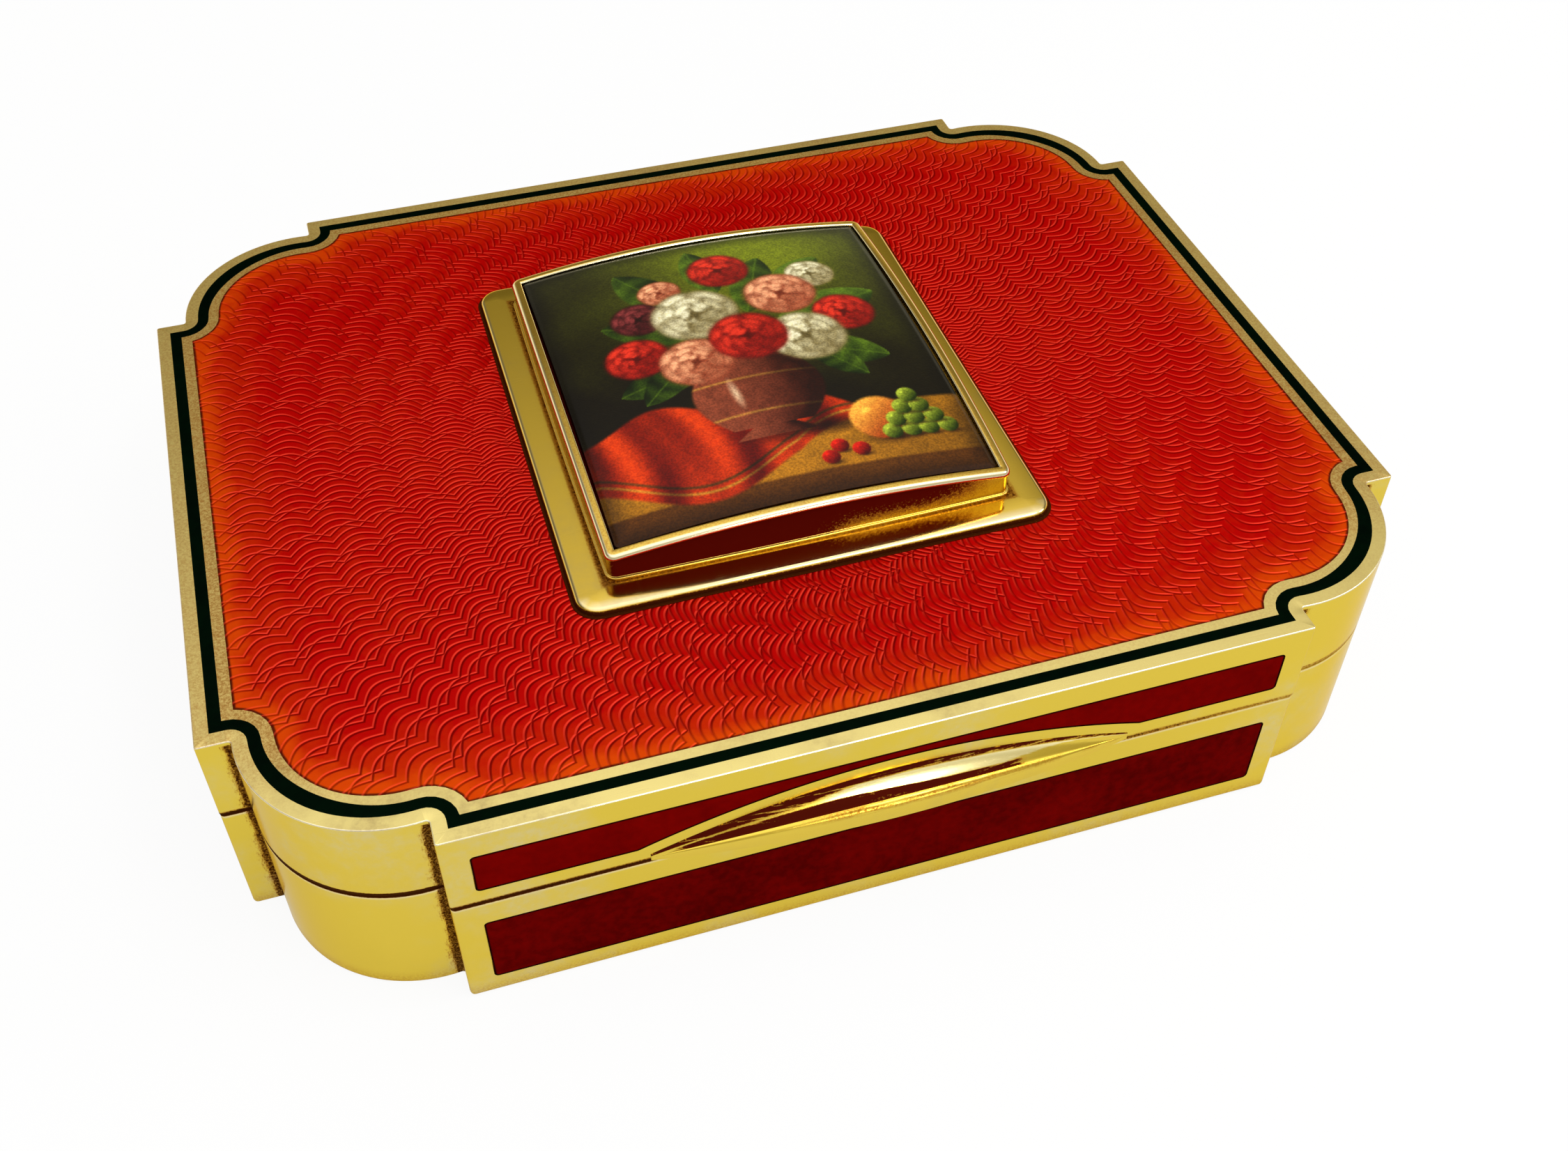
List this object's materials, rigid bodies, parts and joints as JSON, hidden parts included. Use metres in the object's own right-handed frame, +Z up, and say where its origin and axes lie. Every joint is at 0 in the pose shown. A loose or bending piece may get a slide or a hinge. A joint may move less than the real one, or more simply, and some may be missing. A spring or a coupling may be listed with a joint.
{
  "type": "table box",
  "caption": "Low gilt metal table box with stepped, rounded corners, a hinged enamelled lid with a framed plaque, enamel side panels and a crescent thumbpiece.",
  "frame": {"origin": "middle of the box's outline, on the underside", "axes": "+X to the right along the long side, +Y from the front with the thumbpiece to the hinge, +Z up"},
  "size_m": [0.11, 0.0912, 0.0282],
  "materials": {
    "gilt_metal": "polished",
    "gilt_inside": "satin",
    "steel": "satin",
    "red_enamel": "gloss",
    "dark_red_enamel": "gloss",
    "black_enamel": "gloss",
    "painted_enamel": "gloss"
  },
  "bodies": {
    "base": {"base_wall": "gilt_metal", "base_floor": "gilt_metal", "base_inner_rim": "gilt_inside", "base_hinge_bearer": "gilt_inside", "base_panel_front": "dark_red_enamel", "base_panel_right": "dark_red_enamel", "base_panel_back": "dark_red_enamel", "base_panel_left": "dark_red_enamel", "base_knuckle_1": "gilt_metal", "base_knuckle_2": "gilt_metal", "base_knuckle_3": "gilt_metal", "base_knuckle_4": "gilt_metal", "base_knuckle_5": "gilt_metal", "hinge_pin": "steel"},
    "lid": {"lid_wall": "gilt_metal", "lid_top_plate": "gilt_metal", "lid_border_line": "black_enamel", "lid_enamel_field": "red_enamel", "lid_lining": "gilt_inside", "thumbpiece": "gilt_metal", "lid_hinge_bearer": "gilt_inside", "lid_panel_front": "dark_red_enamel", "lid_panel_right": "dark_red_enamel", "lid_panel_back": "dark_red_enamel", "lid_panel_left": "dark_red_enamel", "lid_knuckle_1": "gilt_metal", "lid_knuckle_2": "gilt_metal", "lid_knuckle_3": "gilt_metal", "lid_knuckle_4": "gilt_metal", "mount_plate": "gilt_metal", "mount_bezel": "gilt_metal", "mount_plaque": "painted_enamel", "mount_stud_1": "gilt_metal", "mount_stud_2": "gilt_metal", "mount_stud_3": "gilt_metal", "mount_stud_4": "gilt_metal", "mount_nut_1": "steel", "mount_nut_2": "steel", "mount_nut_3": "steel", "mount_nut_4": "steel"}
  },
  "joints": [
    {"name": "lid_hinge", "type": "hinge", "parent": "base", "child": "lid", "pos_m": [0, 0.04355, 0.01335], "axis": [-1, 0, 0], "range_deg": [0, 100]}
  ]
}
